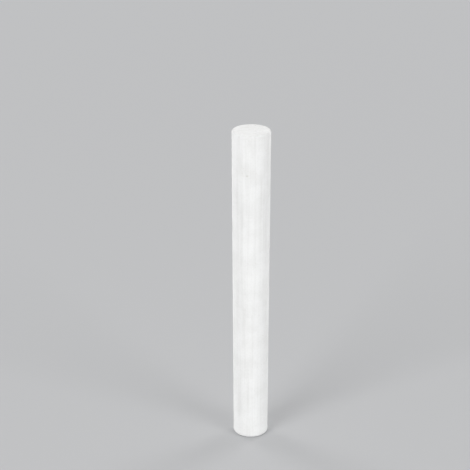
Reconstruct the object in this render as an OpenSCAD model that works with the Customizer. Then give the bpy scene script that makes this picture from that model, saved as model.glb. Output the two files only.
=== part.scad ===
// Round tapered stick of white writing chalk, moulded in one piece.
// It stands on its thin end: the middle of that face is the origin, and +Z runs up the stick.
// All sizes are in millimetres.

/* [Stick] */
// Length from end face to end face
stick_len = 80; // [40:1:120]
// Diameter where the wall would meet the thin end face
thin_d = 8.5; // [7:0.1:12]
// Diameter where the wall would meet the thick end face
thick_d = 9.5; // [7:0.1:14]

/* [Rims] */
// Radius of the rim round the thin end, which the closed end of the mould shapes
thin_rim_r = 1; // [0.2:0.1:2]
// Radius of the rim round the thick end, where the mould is filled and struck off level
thick_rim_r = 0.5; // [0.2:0.1:2]

/* [Hidden] */
$fn = 96;

// Lean of the wall away from the axis
lean = atan((thick_d - thin_d) / 2 / stick_len);

// Radius of the wall at a height
function wall_r(z) = thin_d / 2 + z * tan(lean);

// Centre of a rim's circle: its own radius from the end face and from the leaning wall
function rim_centre(z, rim_r) = [wall_r(z) - rim_r / cos(lean), z];

// Point where a rim's circle runs into the wall
function rim_on_wall(z, rim_r) = rim_centre(z, rim_r) + rim_r * [cos(lean), -sin(lean)];

// Half section of the stick. Each rim is a circle that touches its end face and the wall.
module half_section() {
    thin_z = thin_rim_r;
    thick_z = stick_len - thick_rim_r;
    polygon([
        [0, 0],
        [rim_centre(thin_z, thin_rim_r)[0], 0],
        rim_on_wall(thin_z, thin_rim_r),
        rim_on_wall(thick_z, thick_rim_r),
        [rim_centre(thick_z, thick_rim_r)[0], stick_len],
        [0, stick_len]
    ]);
    translate(rim_centre(thin_z, thin_rim_r))
        circle(r = thin_rim_r);
    translate(rim_centre(thick_z, thick_rim_r))
        circle(r = thick_rim_r);
}

module chalk_stick() {
    color("whitesmoke")
        rotate_extrude()
            half_section();
}

chalk_stick();
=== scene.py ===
"""Chalk stick: one round, tapered stick of white moulded chalk that stands on its thin end.

A Geometry Nodes tree turns the stick from its half section and gives it the finish of dry moulded
chalk. The tree works in millimetres and scales its result to metres.
"""

import math
from collections import namedtuple

import bpy
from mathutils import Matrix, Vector


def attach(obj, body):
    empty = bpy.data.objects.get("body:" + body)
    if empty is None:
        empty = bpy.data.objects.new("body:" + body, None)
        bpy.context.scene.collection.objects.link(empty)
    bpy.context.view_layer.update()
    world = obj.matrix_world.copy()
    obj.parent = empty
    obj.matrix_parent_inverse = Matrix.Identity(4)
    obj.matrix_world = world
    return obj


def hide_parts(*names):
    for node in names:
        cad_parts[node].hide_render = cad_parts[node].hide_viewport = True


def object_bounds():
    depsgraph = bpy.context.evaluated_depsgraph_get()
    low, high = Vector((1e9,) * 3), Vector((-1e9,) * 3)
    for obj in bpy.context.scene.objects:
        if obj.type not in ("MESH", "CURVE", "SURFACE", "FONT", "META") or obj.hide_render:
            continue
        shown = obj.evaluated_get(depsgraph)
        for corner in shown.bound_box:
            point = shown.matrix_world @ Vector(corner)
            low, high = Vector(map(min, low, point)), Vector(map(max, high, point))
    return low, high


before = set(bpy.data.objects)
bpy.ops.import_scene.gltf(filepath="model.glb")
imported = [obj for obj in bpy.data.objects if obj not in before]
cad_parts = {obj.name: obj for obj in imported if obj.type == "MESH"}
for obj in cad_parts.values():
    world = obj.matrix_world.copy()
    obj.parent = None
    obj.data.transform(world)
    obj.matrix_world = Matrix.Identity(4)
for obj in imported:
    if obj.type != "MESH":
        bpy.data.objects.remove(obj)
cad_low, cad_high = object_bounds()

# The solid that the dressed stick replaces, and the body that it rides on.
NODE = "chalk_stick"
BODY = "root"

# Everything random is drawn from this seed.
SEED = 5

# A millimetre in metres.
MM = 0.001

# The stick, in millimetres, as the solid has it.
STICK_LEN = (cad_high.z - cad_low.z) / MM
THIN_D = 8.5
THICK_D = 9.5
THIN_RIM_R = 1.0
THICK_RIM_R = 0.5

# The mesh: its sides round the axis, the length of a step along the section, the steps of a rim,
# and the distance below which two points become one.
SIDES = 160
STEP = 0.19
RIM_STEPS = 12
WELD = 0.001

# A kind of mark is made from cloudy noise: how wide its clouds are along X, Y and Z in millimetres,
# how much fine detail they have, how rough that is, and a seed. Where marks are cut out of the
# noise, a mark begins at the noise's value start and is whole at its value full.
Marks = namedtuple("Marks", "widths detail roughness seed start full", defaults=(0.0, 1.0))

# Marks in the mesh. The wall swells a little, and the thick end is scraped level along X.
SWELL = Marks((9.0, 9.0, 9.0), 2.0, 0.5, 0)
GRAIN = Marks((0.6, 0.6, 0.6), 2.0, 0.6, 1)
SCRAPED = Marks((4.0, 1.1, 1.0), 1.0, 0.5, 2, start=0.2, full=0.8)
CHIPS = Marks((1.2, 1.2, 1.2), 2.0, 0.6, 3, start=0.54, full=0.70)
CROWDS = Marks((11.0, 11.0, 11.0), 1.0, 0.5, 4, start=0.35, full=0.70)

# How deep each of them goes, in millimetres, all of it inside the solid's own surface.
SWELL_DEPTH = 0.04
GRAIN_DEPTH = 0.010
SCRAPED_DEPTH = 0.10
CHIP_DEPTH = 0.09

# Chips reach this far, in millimetres, from a rim's middle, which lies in from the end by a share
# of the rim's radius.
CHIP_REACH = 0.9
RIM_MIDDLE = 1 - math.cos(math.radians(45))

# How much of the surface's normal points along the axis where an end face begins, and where it is
# whole.
END_TILT = (0.6, 0.95)

# Pits, which are air bubbles that the surface cuts open: how many to a square millimetre, the
# radii of the balls in millimetres, and how rare the larger ones are.
PIT_DENSITY = 0.045
PIT_SMALL_R = 0.07
PIT_LARGE_R = 0.20
PIT_RARITY = 4

# By how much that number is multiplied where pits are sparse and where they crowd, at the foot, at
# the head, and on the scraped face.
PIT_CROWDING = (0.3, 2.0)
PIT_FOOT_SHARE = 0.6
PIT_HEAD_SHARE = 1.4
PIT_SCRAPED_SHARE = 5.0

# A ball's centre stands this far out of the surface, between two limits, in its own radii.
PIT_LIFT = (0.25, 0.75)

# What the draws of a ball's radius and lift add to the seed, and the levels of its mesh.
RADIUS_DRAW = 5
LIFT_DRAW = 6
BALL_LEVELS = 3

# How far under the surface, in millimetres, a pit's wall begins to take painted shade, and takes it
# fully.
PIT_WALL = (0.005, 0.06)

# Marks in the material, too fine for the mesh.
CLOUD = Marks((4.5, 4.5, 4.5), 3.0, 0.55, 3, start=0.35, full=0.68)
STREAK = Marks((0.62, 0.62, 20.0), 3.0, 0.6, 5, start=0.42, full=0.70)
SPECK = Marks((0.45, 0.45, 0.45), 4.0, 0.7, 7, start=0.42, full=0.72)
POWDER = Marks((0.14, 0.14, 0.14), 3.0, 0.65, 9, start=0.3, full=0.7)
DRAG = Marks((0.42, 0.42, 17.0), 2.0, 0.5, 13)
SCRAPE = Marks((2.0, 0.38, 1.0), 4.0, 0.7, 15, start=0.5, full=0.3)
SCRATCH = Marks((0.45, 0.45, 330.0), 1.0, 0.5, 23)
STRETCH = Marks((0.9, 0.9, 6.2), 1.0, 0.5, 24, start=0.57, full=0.70)

# A scratch is where its noise comes this near its middle value. Scratches begin, and are whole, at
# these distances in millimetres from the foot and from the head.
SCRATCH_BAND = 0.012
SCRATCH_FOOT = (1.5, 4.0)
SCRATCH_HEAD = (0.8, 2.5)

# Two sizes of pore, in millimetres: the width of the cells that may hold one, and its largest
# radius.
PORES = ((0.75, 0.075), (0.40, 0.04))

# The share of the cells that do hold one, the share of its radius that is flat, and a least size,
# so that nothing is divided by zero.
PORE_SHARE = 0.4
PORE_FLAT = 0.55
PORE_LEAST = 0.001

# How far each kind rises or sinks as bump, in millimetres.
POWDER_RELIEF = 0.030
DRAG_RELIEF = 0.020
SCRAPE_RELIEF = 0.10
PORE_RELIEF = 0.05
SCRATCH_RELIEF = 0.010

# Colours are linear. The chalk is white with a darker tone of its own, and its hollows and scraped
# grooves are greyed with painted shade.
CHALK_LIGHT = (0.897, 0.900, 0.896)
CHALK_TONE_AND_GROOVE_SHADE = (0.775, 0.775, 0.764)
PIT_PAINTED_SHADE = (0.77, 0.76, 0.735)

# How far each kind of mark takes the colour towards the darker tone: clouds, streaks and specks are
# the chalk's own tone, and the scraped grooves' greying is painted shade.
CLOUD_SHADE = 0.35
STREAK_SHADE = 0.35
SPECK_SHADE = 0.30
SCRAPE_SHADE = 0.60

# How far pores and scratches take it towards the painted shade of a pit.
PORE_SHADE = 0.8
SCRATCH_SHADE = 0.12

# How rough the gloss is, between the grains and on them, how strong it is, and how rough the
# chalk is where it scatters light.
ROUGHNESS = (0.88, 1.0)
SPECULAR_LEVEL = 0.25
DIFFUSE_ROUGHNESS = 0.7

# Colours of the lit floor and of the plain backdrop.
FLOOR = (0.577, 0.582, 0.592)
BACKDROP = (0.53, 0.535, 0.545)

# The floor reaches this far each way, in metres, and runs into the backdrop's colour between two
# distances from the stick.
FLOOR_REACH = 2.0
FLOOR_FADE = (0.15, 0.6)

# How brightly the room's white walls and ceiling light the stick.
ROOM = (1.0, 1.0, 1.0)
WALL_GLOW = 0.91
CEILING_GLOW = 0.32

# Round lamps: each one's place in metres and its power in watts, and the width and aim of all.
LAMPS = {
    "key": ((-1.25, -1.65, 1.05), 20.2),
    "fill": ((1.55, -1.45, 0.90), 14.2),
    "rear_left": ((-1.45, 1.50, 0.95), 11.1),
    "rear_right": ((1.45, 1.50, 0.95), 11.1),
}
LAMP_SIZE = 1.2
LAMP_AIM = (0.0, 0.0, 0.04)

# The camera stands in front of the stick and looks down at it: its place and aim in metres, its
# lens and the width of its sensor in millimetres.
CAMERA = (0.0, -0.4945, 0.2508)
CAMERA_AIM = (-0.0039, 0.0, 0.053)
LENS = 168.0
SENSOR = 36.0


# ---------------------------------------------------------------- node trees


class Field:
    """An output socket that takes part in Python sums: each operator adds its Math node."""

    def __init__(self, graph, socket):
        self.graph = graph
        self.socket = socket

    def __add__(self, other):
        return self.graph.math("ADD", self, other)

    def __radd__(self, other):
        return self.graph.math("ADD", other, self)

    def __sub__(self, other):
        return self.graph.math("SUBTRACT", self, other)

    def __rsub__(self, other):
        return self.graph.math("SUBTRACT", other, self)

    def __mul__(self, other):
        return self.graph.math("MULTIPLY", self, other)

    def __rmul__(self, other):
        return self.graph.math("MULTIPLY", other, self)

    def __truediv__(self, other):
        return self.graph.math("DIVIDE", self, other)

    def __pow__(self, other):
        return self.graph.math("POWER", self, other)

    def __abs__(self):
        return self.graph.math("ABSOLUTE", self)

    def __gt__(self, other):
        return self.graph.math("GREATER_THAN", self, other)

    def __lt__(self, other):
        return self.graph.math("LESS_THAN", self, other)


class Graph:
    """Adds nodes to one tree."""

    def __init__(self, tree):
        self.tree = tree
        tree.nodes.clear()

    def node(self, kind, settings=None, sockets=None, out=0):
        """Adds a node: its settings first, then what its sockets hold.

        Gives back one of its outputs, or the node itself where it has none.
        """
        made = self.tree.nodes.new(kind)
        for name, value in (settings or {}).items():
            setattr(made, name, value)
        for key, value in (sockets or {}).items():
            self.feed(self.find(made.inputs, key), value)
        if not made.outputs:
            return made
        return Field(self, self.find(made.outputs, out))

    @staticmethod
    def find(sockets, key):
        """The socket with that number, identifier or name, of those that the settings show."""
        if isinstance(key, int):
            return sockets[key]
        return next(s for s in sockets if s.enabled and key in (s.identifier, s.name))

    def feed(self, socket, value):
        """Links a field to a socket, or sets the socket's own value."""
        if isinstance(value, Field):
            self.tree.links.new(value.socket, socket)
        else:
            socket.default_value = value

    def also(self, field, out):
        """Another output of the node that a field comes from."""
        return Field(self, self.find(field.socket.node.outputs, out))

    def math(self, operation, *terms):
        """A Math node, with its terms in order."""
        return self.node("ShaderNodeMath", {"operation": operation}, dict(enumerate(terms)))

    def most(self, *terms):
        """The greatest of several values."""
        first, *rest = terms
        for term in rest:
            first = self.math("MAXIMUM", first, term)
        return first

    def vector_math(self, operation, sockets, out="Vector"):
        """A Vector Math node."""
        return self.node("ShaderNodeVectorMath", {"operation": operation}, sockets, out)

    def scaled(self, vector, factor):
        """A vector times a number."""
        return self.vector_math("SCALE", {"Vector": vector, "Scale": factor})

    def join(self, x, y, z):
        """The vector with these three parts."""
        return self.node("ShaderNodeCombineXYZ", None, {"X": x, "Y": y, "Z": z})

    def split(self, vector):
        """The three parts of a vector."""
        x = self.node("ShaderNodeSeparateXYZ", None, {"Vector": vector})
        return x, self.also(x, "Y"), self.also(x, "Z")

    def smooth(self, value, low, high, to_low=0.0, to_high=1.0):
        """A smooth step: to_low where the value is at low, to_high where it is at high."""
        return self.node(
            "ShaderNodeMapRange",
            {"interpolation_type": "SMOOTHSTEP"},
            {
                "Value": value,
                "From Min": low,
                "From Max": high,
                "To Min": to_low,
                "To Max": to_high,
            },
        )

    def noise(self, place, marks, seed=0):
        """The cloudy noise that a kind of mark is made from."""
        return self.node(
            "ShaderNodeTexNoise",
            {"noise_dimensions": "4D"},
            {
                "Vector": self.vector_math("DIVIDE", {0: place, 1: marks.widths}),
                "W": seed + marks.seed,
                "Scale": 1.0,
                "Detail": marks.detail,
                "Roughness": marks.roughness,
            },
            "Fac",
        )

    def cut(self, noise, marks, low=0.0, high=1.0):
        """Marks of one kind, cut out of their noise: low where there are none, high in a mark."""
        return self.smooth(noise, marks.start, marks.full, low, high)

    def marks(self, place, marks, seed=0):
        """Marks of one kind, from 0 where there are none to 1 in a mark."""
        return self.cut(self.noise(place, marks, seed), marks)

    def mix(self, factor, colour_a, colour_b):
        """Blends two colours."""
        return self.node(
            "ShaderNodeMix",
            {"data_type": "RGBA"},
            {"Factor_Float": factor, "A_Color": colour_a, "B_Color": colour_b},
            "Result_Color",
        )


def rgba(colour):
    """A colour as a socket takes it, opaque."""
    return (*colour, 1.0)


def new_material(name):
    """A material without nodes, and the graph to add them with."""
    material = bpy.data.materials.new(name)
    material.use_nodes = True
    return material, Graph(material.node_tree)


# ---------------------------------------------------------------- chalk


def pores(g, place, cell, largest):
    """Tiny open bubbles in a share of the cells of that width: 1 inside a bubble."""
    distance = g.node(
        "ShaderNodeTexVoronoi", None, {"Vector": place, "Scale": 1 / cell}, "Distance"
    )
    chance = g.node("ShaderNodeSeparateColor", None, {"Color": g.also(distance, "Color")}, "Red")
    size = (chance - (1 - PORE_SHARE)) / PORE_SHARE
    radius = g.most(size, PORE_LEAST) * (largest / cell)
    return g.smooth(distance / radius, 1.0, PORE_FLAT)


def scratches(g, place):
    """Fine straight marks that run along the wall for a few millimetres: 1 in a mark."""
    z = g.split(place)[2]
    off_middle = abs(g.noise(place, SCRATCH) - 0.5)
    line = g.smooth(off_middle, SCRATCH_BAND, 0.0)
    off_foot = g.smooth(z, *SCRATCH_FOOT)
    off_head = g.smooth(STICK_LEN - z, *SCRATCH_HEAD)
    return line * g.marks(place, STRETCH) * off_foot * off_head


def chalk_colour(g, place, painted_hollow_shade, groove_shade):
    """Flat white, a little cloudy and streaked, with painted shade in each hollow and groove."""
    # Clouds, streaks and specks are the chalk's own tone; the scraped grooves' part is painted
    # shade.
    shade = g.marks(place, CLOUD) * CLOUD_SHADE + g.marks(place, STREAK) * STREAK_SHADE
    shade = shade + g.marks(place, SPECK) * SPECK_SHADE + groove_shade * SCRAPE_SHADE
    colour = g.mix(shade, rgba(CHALK_LIGHT), rgba(CHALK_TONE_AND_GROOVE_SHADE))
    # Painted shade in pits, pores and scratches, where shadow falls in the hollows.
    return g.mix(painted_hollow_shade, colour, rgba(PIT_PAINTED_SHADE))


def chalk_material():
    """Dry moulded chalk: powdery, marked along its length, and scraped where it is struck level."""
    material, g = new_material("moulded_chalk")
    place = g.scaled(g.node("ShaderNodeTexCoord", None, None, "Object"), 1 / MM)
    pit = g.node("ShaderNodeAttribute", {"attribute_name": "pit"}, None, "Fac")
    struck = g.node("ShaderNodeAttribute", {"attribute_name": "struck"}, None, "Fac")
    moulded = 1 - struck

    powder = g.noise(place, POWDER)
    scrape = g.noise(place, SCRAPE)
    # Where the head's scraped grooves get painted shade.
    groove_shade = g.cut(scrape, SCRAPE) * struck
    scratch = scratches(g, place) * moulded
    pore = g.most(*(pores(g, place, *sizes) for sizes in PORES))
    # Painted shade: how far pits, pores and scratches are greyed as if in shadow.
    painted_hollow_shade = g.most(pit, pore * PORE_SHADE, scratch * SCRATCH_SHADE)

    height = powder * POWDER_RELIEF + g.noise(place, DRAG) * DRAG_RELIEF * moulded
    height = height + scrape * SCRAPE_RELIEF * struck
    height = height - pore * PORE_RELIEF - scratch * SCRATCH_RELIEF
    bump = g.node(
        "ShaderNodeBump", None, {"Strength": 1.0, "Distance": MM, "Height": height}, "Normal"
    )
    shader = g.node(
        "ShaderNodeBsdfPrincipled",
        None,
        {
            "Base Color": chalk_colour(g, place, painted_hollow_shade, groove_shade),
            "Roughness": g.cut(powder, POWDER, *ROUGHNESS),
            "Diffuse Roughness": DIFFUSE_ROUGHNESS,
            "Specular IOR Level": SPECULAR_LEVEL,
            "Normal": bump,
        },
    )
    g.node("ShaderNodeOutputMaterial", None, {"Surface": shader})
    return material


# ---------------------------------------------------------------- stick


def half_section(g, size):
    """The stick's half section as a curve in the XZ plane, from the foot's middle to the head's.

    Its rims are round and its steps even, and half as long across the head, for the scraping.
    """
    line = g.node(
        "GeometryNodeCurvePrimitiveQuadrilateral",
        {"mode": "POINTS"},
        {
            "Point 1": (0.0, 0.0, 0.0),
            "Point 2": g.join(size["Thin diameter"] / 2, 0.0, 0.0),
            "Point 3": g.join(size["Thick diameter"] / 2, 0.0, size["Length"]),
            "Point 4": g.join(0.0, 0.0, size["Length"]),
        },
    )
    line = g.node("GeometryNodeSetSplineCyclic", None, {"Geometry": line, "Cyclic": False})
    point = g.node("GeometryNodeInputIndex")
    thin_corner = abs(point - 1) < 0.5
    thick_corner = abs(point - 2) < 0.5
    rim = thin_corner * size["Thin rim"] + thick_corner * size["Thick rim"]
    line = g.node(
        "GeometryNodeFilletCurve",
        {"mode": "POLY"},
        {"Curve": line, "Count": RIM_STEPS, "Radius": rim},
    )
    place = g.node("GeometryNodeInputPosition")
    following = g.node(
        "GeometryNodeFieldAtIndex",
        {"data_type": "FLOAT_VECTOR", "domain": "POINT"},
        {"Value": place, "Index": point + 1},
    )
    gap = g.vector_math("DISTANCE", {0: place, 1: following}, "Value")
    on_head = g.split(place)[2] > size["Length"] - WELD
    cuts = gap / size["Step"] * (1 + on_head)
    return g.node("GeometryNodeSubdivideCurve", None, {"Curve": line, "Cuts": cuts})


def turned(g, section, size):
    """Turns a half section round the Z axis into a closed mesh.

    A grid has a row for each point of the section and a column for each angle. Its last column
    meets its first, and its points on the axis become one.
    """
    rows = g.node(
        "GeometryNodeAttributeDomainSize",
        {"component": "CURVE"},
        {"Geometry": section},
        "Point Count",
    )
    grid = g.node(
        "GeometryNodeMeshGrid", None, {"Vertices X": size["Sides"] + 1, "Vertices Y": rows}
    )
    index = g.node("GeometryNodeInputIndex")
    column = g.math("FLOOR", (index + 0.5) / rows)
    on_section = g.node(
        "GeometryNodeSampleIndex",
        {"data_type": "FLOAT_VECTOR", "domain": "POINT"},
        {
            "Geometry": section,
            "Value": g.node("GeometryNodeInputPosition"),
            "Index": index - column * rows,
        },
    )
    radius, _, height = g.split(on_section)
    angle = column / size["Sides"] * math.tau
    place = g.join(radius * g.math("COSINE", angle), radius * g.math("SINE", angle), height)
    mesh = g.node("GeometryNodeSetPosition", None, {"Geometry": grid, "Position": place})
    return g.node("GeometryNodeMergeByDistance", None, {"Geometry": mesh, "Distance": WELD})


def worn(g, body, size):
    """Presses a slow swell, grain, the head's scraping and tiny rim chips into the body."""
    place = g.node("GeometryNodeInputPosition")
    normal = g.node("GeometryNodeInputNormal")
    z = g.split(place)[2]
    up = g.split(normal)[2]
    seed = size["Seed"]
    on_head = g.smooth(up, *END_TILT)
    on_foot = g.smooth(-1 * up, *END_TILT)
    off_foot = abs(z - size["Thin rim"] * RIM_MIDDLE)
    off_head = abs(size["Length"] - size["Thick rim"] * RIM_MIDDLE - z)
    on_rim = g.smooth(g.math("MINIMUM", off_foot, off_head), CHIP_REACH, 0.0)

    swell = g.noise(place, SWELL, seed) * size["Swell"] * (1 - on_foot)
    grain = g.noise(place, GRAIN, seed) * size["Grain"]
    scraped = g.marks(place, SCRAPED, seed) * size["Scraped depth"] * on_head
    chips = g.marks(place, CHIPS, seed) * size["Chip depth"] * on_rim
    chips = chips * (1 - on_head) * (1 - on_foot)
    inwards = g.scaled(normal, -1 * (swell + grain + scraped + chips))
    body = g.node("GeometryNodeSetPosition", None, {"Geometry": body, "Offset": inwards})
    return g.node(
        "GeometryNodeStoreNamedAttribute",
        {"data_type": "FLOAT", "domain": "POINT"},
        {"Geometry": body, "Name": "struck", "Value": on_head},
    )


def random_value(g, low, high, seed):
    """A number between two limits, drawn for each point."""
    return g.node(
        "FunctionNodeRandomValue",
        {"data_type": "FLOAT"},
        {"Min": low, "Max": high, "Seed": seed},
        "Value",
    )


def pitted(g, body, size):
    """Cuts small balls out of the surface: the air bubbles that it lays open."""
    place = g.node("GeometryNodeInputPosition")
    seed = size["Seed"]
    crowd = g.cut(g.noise(place, CROWDS, seed), CROWDS, *PIT_CROWDING)
    rise = g.split(place)[2] / size["Length"] * (PIT_HEAD_SHARE - PIT_FOOT_SHARE) + PIT_FOOT_SHARE
    up = g.split(g.node("GeometryNodeInputNormal"))[2]
    scraped = g.smooth(up, *END_TILT, 1.0, PIT_SCRAPED_SHARE)
    points = g.node(
        "GeometryNodeDistributePointsOnFaces",
        {"distribute_method": "RANDOM"},
        {"Mesh": body, "Density": size["Pit density"] * crowd * rise * scraped, "Seed": seed},
        "Points",
    )
    normal = g.also(points, "Normal")
    chance = random_value(g, 0.0, 1.0, seed + RADIUS_DRAW)
    lift = random_value(g, *PIT_LIFT, seed + LIFT_DRAW)
    spread = size["Pit large radius"] - size["Pit small radius"]
    radius = size["Pit small radius"] + spread * chance ** PIT_RARITY
    points = g.node(
        "GeometryNodeSetPosition",
        None,
        {"Geometry": points, "Offset": g.scaled(normal, radius * lift)},
    )
    ball = g.node("GeometryNodeMeshIcoSphere", None, {"Radius": 1.0, "Subdivisions": BALL_LEVELS})
    balls = g.node(
        "GeometryNodeInstanceOnPoints",
        None,
        {"Points": points, "Instance": ball, "Scale": g.join(radius, radius, radius)},
    )
    balls = g.node("GeometryNodeRealizeInstances", None, {"Geometry": balls})
    balls = g.node(
        "GeometryNodeStoreNamedAttribute",
        {"data_type": "FLOAT", "domain": "FACE"},
        {"Geometry": balls, "Name": "hollow", "Value": 1.0},
    )
    cut = g.node(
        "GeometryNodeMeshBoolean",
        {"operation": "DIFFERENCE", "solver": "MANIFOLD"},
        {"Mesh 1": body, "Mesh 2": balls},
        "Mesh",
    )
    return g.node("GeometryNodeMergeByDistance", None, {"Geometry": cut, "Distance": WELD})


def pit_depths(g, body, whole):
    """Stores how deep in a pit each point lies, from 0 to 1, for the material's painted shade in
    pits.
    """
    depth = g.node(
        "GeometryNodeProximity", {"target_element": "FACES"}, {"Target": whole}, "Distance"
    )
    return g.node(
        "GeometryNodeStoreNamedAttribute",
        {"data_type": "FLOAT", "domain": "POINT"},
        {"Geometry": body, "Name": "pit", "Value": g.smooth(depth, *PIT_WALL)},
    )


def shaded(g, body):
    """Shades the body smooth, but leaves the edge round each pit sharp.

    The attribute hollow is 1 on a pit's wall and 0 elsewhere, so it is a half on such an edge.
    """
    body = g.node("GeometryNodeSetShadeSmooth", {"domain": "FACE"}, {"Geometry": body})
    hollow = g.node("GeometryNodeInputNamedAttribute", {"data_type": "FLOAT"}, {"Name": "hollow"})
    on_edge = abs(hollow - 0.5) < 0.25
    return g.node(
        "GeometryNodeSetShadeSmooth",
        {"domain": "EDGE"},
        {"Geometry": body, "Selection": on_edge, "Shade Smooth": False},
    )


def named_inputs(g, values):
    """Gives the tree a named input for each value, and gives back its field under that name."""
    kinds = {
        float: "NodeSocketFloat",
        int: "NodeSocketInt",
        bpy.types.Material: "NodeSocketMaterial",
    }
    for name, value in values.items():
        g.tree.interface.new_socket(name, in_out="INPUT", socket_type=kinds[type(value)])
    first = g.node("NodeGroupInput")
    return {name: g.also(first, name) for name in values}


def stick_tree(values):
    """The tree that makes the dressed stick from its named sizes."""
    tree = bpy.data.node_groups.new("moulded_stick", "GeometryNodeTree")
    g = Graph(tree)
    tree.interface.new_socket("Geometry", in_out="OUTPUT", socket_type="NodeSocketGeometry")
    size = named_inputs(g, values)
    whole = worn(g, turned(g, half_section(g, size), size), size)
    body = shaded(g, pit_depths(g, pitted(g, whole, size), whole))
    body = g.node("GeometryNodeTransform", None, {"Geometry": body, "Scale": (MM, MM, MM)})
    body = g.node("GeometryNodeRealizeInstances", None, {"Geometry": body})
    body = g.node("GeometryNodeSetMaterial", None, {"Geometry": body, "Material": size["Material"]})
    g.node("NodeGroupOutput", None, {"Geometry": body})
    return tree


def grown(name, tree, values):
    """Runs a tree once with its inputs set, and keeps the result as a plain mesh object."""
    holder = bpy.data.objects.new(name + "_tree", bpy.data.meshes.new(name + "_tree"))
    bpy.context.scene.collection.objects.link(holder)
    modifier = holder.modifiers.new("tree", "NODES")
    modifier.node_group = tree
    for item in tree.interface.items_tree:
        if item.in_out == "INPUT":
            modifier[item.identifier] = values[item.name]
    evaluated = holder.evaluated_get(bpy.context.evaluated_depsgraph_get())
    mesh = bpy.data.meshes.new_from_object(evaluated)
    mesh.name = name
    bpy.data.objects.remove(holder)
    piece = bpy.data.objects.new(name, mesh)
    bpy.context.scene.collection.objects.link(piece)
    return piece


def make_stick():
    """The dressed stick, which stands for the solid one."""
    values = {
        "Length": STICK_LEN,
        "Thin diameter": THIN_D,
        "Thick diameter": THICK_D,
        "Thin rim": THIN_RIM_R,
        "Thick rim": THICK_RIM_R,
        "Sides": SIDES,
        "Step": STEP,
        "Swell": SWELL_DEPTH,
        "Grain": GRAIN_DEPTH,
        "Scraped depth": SCRAPED_DEPTH,
        "Chip depth": CHIP_DEPTH,
        "Pit density": PIT_DENSITY,
        "Pit small radius": PIT_SMALL_R,
        "Pit large radius": PIT_LARGE_R,
        "Seed": SEED,
        "Material": chalk_material(),
    }
    stick = grown("moulded_chalk_stick", stick_tree(values), values)
    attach(stick, BODY)
    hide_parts(NODE)


# ---------------------------------------------------------------- stage


def seen_directly(g):
    """1 for rays that come from the camera, also by way of gloss or glass."""
    camera = g.node("ShaderNodeLightPath", None, None, "Is Camera Ray")
    return g.most(camera, g.also(camera, "Is Glossy Ray"), g.also(camera, "Is Transmission Ray"))


def floor_material():
    """Pale matt floor that runs into the backdrop's plain colour away from the stick."""
    material, g = new_material("pale_floor")
    here = g.node("ShaderNodeTexCoord", None, None, "Object")
    away = g.vector_math("LENGTH", {0: here}, "Value")
    lit = g.node("ShaderNodeBsdfDiffuse", None, {"Color": rgba(FLOOR)})
    plain = g.node("ShaderNodeEmission", None, {"Color": rgba(BACKDROP), "Strength": 1.0})
    faded = g.smooth(away, *FLOOR_FADE) * seen_directly(g)
    both = g.node("ShaderNodeMixShader", None, {0: faded, 1: lit, 2: plain})
    g.node("ShaderNodeOutputMaterial", None, {"Surface": both})
    return material


def make_floor():
    """The square floor, which is part of the stage."""
    far = FLOOR_REACH
    corners = [(-far, -far, 0), (far, -far, 0), (far, far, 0), (-far, far, 0)]
    mesh = bpy.data.meshes.new("floor")
    mesh.from_pydata(corners, [], [(0, 1, 2, 3)])
    mesh.materials.append(floor_material())
    floor = bpy.data.objects.new("floor", mesh)
    bpy.context.scene.collection.objects.link(floor)


def make_world():
    """Soft light from walls all round and less from above, behind a plain pale backdrop."""
    world = bpy.data.worlds.new("studio")
    bpy.context.scene.world = world
    world.use_nodes = True
    g = Graph(world.node_tree)
    gaze = g.node("ShaderNodeTexCoord", None, None, "Generated")
    glow = g.smooth(g.split(gaze)[2], 0.0, 1.0, WALL_GLOW, CEILING_GLOW)
    room = g.node("ShaderNodeBackground", None, {"Color": rgba(ROOM), "Strength": glow})
    plain = g.node("ShaderNodeBackground", None, {"Color": rgba(BACKDROP), "Strength": 1.0})
    both = g.node("ShaderNodeMixShader", None, {0: seen_directly(g), 1: room, 2: plain})
    g.node("ShaderNodeOutputWorld", None, {"Surface": both})


def place_at(name, data, place, target):
    """The object that holds a lamp or a camera, at a place and pointed at a target."""
    holder = bpy.data.objects.new(name, data)
    bpy.context.scene.collection.objects.link(holder)
    holder.location = place
    gaze = Vector(target) - Vector(place)
    holder.rotation_euler = gaze.to_track_quat("-Z", "Y").to_euler()
    return holder


def make_lamps():
    """The lamps of the stage, all pointed at the stick."""
    for name, (place, power) in LAMPS.items():
        lamp = bpy.data.lights.new(name, "AREA")
        lamp.shape = "DISK"
        lamp.size = LAMP_SIZE
        lamp.energy = power
        place_at(name, lamp, place, LAMP_AIM)


def make_camera():
    """The scene's camera, pointed at the stick."""
    data = bpy.data.cameras.new("camera")
    data.lens = LENS
    data.sensor_width = SENSOR
    bpy.context.scene.camera = place_at("camera", data, CAMERA, CAMERA_AIM)


make_camera()
make_floor()
make_world()
make_lamps()
make_stick()
bpy.context.scene.view_settings.view_transform = "Standard"
